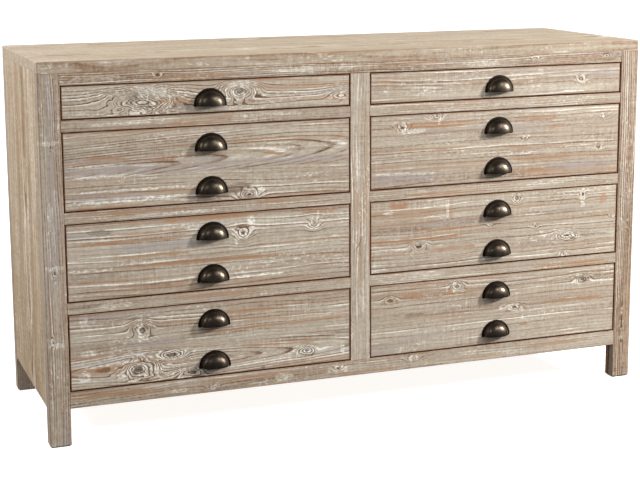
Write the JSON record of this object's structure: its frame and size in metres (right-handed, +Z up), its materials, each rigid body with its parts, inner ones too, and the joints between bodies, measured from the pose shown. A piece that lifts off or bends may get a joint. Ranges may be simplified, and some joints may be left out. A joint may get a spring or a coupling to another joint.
{
  "type": "chest of drawers",
  "caption": "Low, wide chest of drawers in limed pine on four square legs, with inset drawers in two columns and dark cup pulls.",
  "frame": {"origin": "on the floor, under the middle of the whole chest with its pulls", "axes": "+X to the chest's right seen from the front, +Y from the front to the back, +Z up"},
  "size_m": [1.575, 0.531, 0.914],
  "materials": {
    "limed_pine": "limed and waxed, matt",
    "drawer_wood": "limed and waxed, matt, with strong grain",
    "plain_pine": "planed, unfinished",
    "dark_bronze": "oil-rubbed dark bronze, satin",
    "zinc_screw": "zinc plated"
  },
  "bodies": {
    "carcass": {"top_board": "limed_pine", "left_side_panel": "limed_pine", "right_side_panel": "limed_pine", "front_left_post": "limed_pine", "front_right_post": "limed_pine", "back_left_post": "limed_pine", "back_right_post": "limed_pine", "centre_stile": "limed_pine", "top_rail": "limed_pine", "bottom_rail": "limed_pine", "left_drawer_rails": "limed_pine", "right_drawer_rails": "limed_pine", "back_rails": "plain_pine", "back_boards": "plain_pine", "centre_partition": "plain_pine", "floor_board": "plain_pine", "top_kickers": "plain_pine", "drawer_runners": "plain_pine", "drawer_guides": "plain_pine", "drawer_stops": "plain_pine"},
    "left_drawer_1": {"left_drawer_1_front": "drawer_wood", "left_drawer_1_box": "plain_pine", "left_drawer_1_bottom": "plain_pine", "left_drawer_1_pulls": "dark_bronze", "left_drawer_1_screws": "zinc_screw"},
    "left_drawer_2": {"left_drawer_2_front": "drawer_wood", "left_drawer_2_box": "plain_pine", "left_drawer_2_bottom": "plain_pine", "left_drawer_2_pulls": "dark_bronze", "left_drawer_2_screws": "zinc_screw"},
    "left_drawer_3": {"left_drawer_3_front": "drawer_wood", "left_drawer_3_box": "plain_pine", "left_drawer_3_bottom": "plain_pine", "left_drawer_3_pulls": "dark_bronze", "left_drawer_3_screws": "zinc_screw"},
    "left_drawer_4": {"left_drawer_4_front": "drawer_wood", "left_drawer_4_box": "plain_pine", "left_drawer_4_bottom": "plain_pine", "left_drawer_4_pulls": "dark_bronze", "left_drawer_4_screws": "zinc_screw"},
    "right_drawer_1": {"right_drawer_1_front": "drawer_wood", "right_drawer_1_box": "plain_pine", "right_drawer_1_bottom": "plain_pine", "right_drawer_1_pulls": "dark_bronze", "right_drawer_1_screws": "zinc_screw"},
    "right_drawer_2": {"right_drawer_2_front": "drawer_wood", "right_drawer_2_box": "plain_pine", "right_drawer_2_bottom": "plain_pine", "right_drawer_2_pulls": "dark_bronze", "right_drawer_2_screws": "zinc_screw"},
    "right_drawer_3": {"right_drawer_3_front": "drawer_wood", "right_drawer_3_box": "plain_pine", "right_drawer_3_bottom": "plain_pine", "right_drawer_3_pulls": "dark_bronze", "right_drawer_3_screws": "zinc_screw"},
    "right_drawer_4": {"right_drawer_4_front": "drawer_wood", "right_drawer_4_box": "plain_pine", "right_drawer_4_bottom": "plain_pine", "right_drawer_4_pulls": "dark_bronze", "right_drawer_4_screws": "zinc_screw"}
  },
  "joints": [
    {"name": "left_drawer_1_slide", "type": "slide", "parent": "carcass", "child": "left_drawer_1", "axis": [0, -1, 0], "range_m": [0, 0.32]},
    {"name": "left_drawer_2_slide", "type": "slide", "parent": "carcass", "child": "left_drawer_2", "axis": [0, -1, 0], "range_m": [0, 0.32]},
    {"name": "left_drawer_3_slide", "type": "slide", "parent": "carcass", "child": "left_drawer_3", "axis": [0, -1, 0], "range_m": [0, 0.32]},
    {"name": "left_drawer_4_slide", "type": "slide", "parent": "carcass", "child": "left_drawer_4", "axis": [0, -1, 0], "range_m": [0, 0.32]},
    {"name": "right_drawer_1_slide", "type": "slide", "parent": "carcass", "child": "right_drawer_1", "axis": [0, -1, 0], "range_m": [0, 0.32]},
    {"name": "right_drawer_2_slide", "type": "slide", "parent": "carcass", "child": "right_drawer_2", "axis": [0, -1, 0], "range_m": [0, 0.32]},
    {"name": "right_drawer_3_slide", "type": "slide", "parent": "carcass", "child": "right_drawer_3", "axis": [0, -1, 0], "range_m": [0, 0.32]},
    {"name": "right_drawer_4_slide", "type": "slide", "parent": "carcass", "child": "right_drawer_4", "axis": [0, -1, 0], "range_m": [0, 0.32]}
  ]
}
